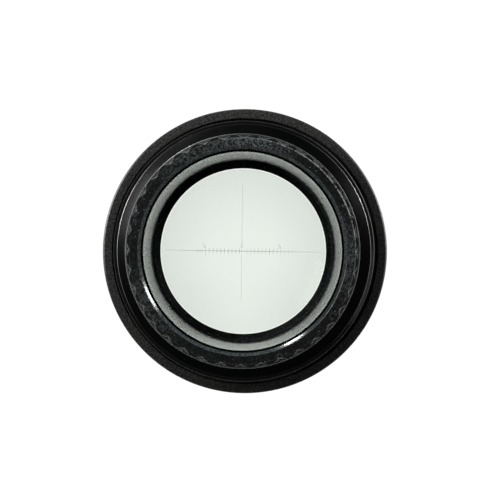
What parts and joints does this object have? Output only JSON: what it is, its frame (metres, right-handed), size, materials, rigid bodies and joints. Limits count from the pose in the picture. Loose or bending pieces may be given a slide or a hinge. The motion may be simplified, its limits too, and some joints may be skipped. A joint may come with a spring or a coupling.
{
  "type": "focusing reticle eyepiece",
  "caption": "Round focusing eyepiece with a glass reticle scale in its barrel, a turning focus ring that slides the barrel, and a rubber eyecup.",
  "frame": {"origin": "middle of the eyecup's rim, on the surface the eyepiece stands on", "axes": "+Z along the optical axis from the eye side to the barrel's open end; +X along the reticle's scale towards its higher numbers"},
  "size_m": [0.0414, 0.0414, 0.056],
  "materials": {
    "black_anodised": "black anodised aluminium, satin",
    "satin_black": "black anodised aluminium, smooth satin",
    "rough_black": "matte black anodised over a blasted face, dusty, edges worn",
    "bore_black": "gloss black, polished bore",
    "matt_black": "optical matt black",
    "grained_black": "fine leather grain, matte",
    "eyecup_rubber": "soft moulded rubber, matte",
    "soft_rubber": "soft ring rubber",
    "nut_brass": "turned brass",
    "spring_steel": "spring steel, oiled",
    "blued_steel": "blackened steel",
    "optical_glass": "polished lens glass",
    "reticle_glass": "flat glass, faint green",
    "engraving": "filled engraved lines",
    "white_paint": "white paint fill"
  },
  "bodies": {
    "eye_head": {"lens_tube": "black_anodised", "guide_screws": "blued_steel", "eye_lens": "optical_glass", "lens_spacer_tube": "matt_black", "doublet_flint": "optical_glass", "doublet_crown": "optical_glass", "lens_retaining_ring": "matt_black", "focus_circlip": "spring_steel", "slide_o_ring": "soft_rubber", "eyecup": "eyecup_rubber"},
    "focus_ring": {"focus_nut": "nut_brass", "focus_ring": "satin_black", "focus_grub_screws": "blued_steel", "grip_sleeve": "grained_black"},
    "barrel": {"body_shell": "satin_black", "focus_marks": "white_paint", "insertion_barrel": "black_anodised", "reticle_cell": "rough_black", "cushion_ring": "soft_rubber", "reticle_glass": "reticle_glass", "field_stop": "matt_black", "reticle_clamp_tube": "bore_black", "reticle_lines": "engraving", "reticle_ticks": "engraving", "reticle_numerals": "engraving"}
  },
  "joints": [
    {"name": "focus_turn", "type": "hinge", "parent": "eye_head", "child": "focus_ring", "pos_m": [0, 0, 0.0093], "axis": [0, 0, 1], "range_deg": [-210, 0]},
    {"name": "focus_travel", "type": "slide", "parent": "eye_head", "child": "barrel", "axis": [0, 0, 1], "range_m": [0, 0.0035]}
  ],
  "couplings": [
    {"joint": "focus_turn", "follows": "focus_travel", "rad_per_m": -1047.2}
  ]
}
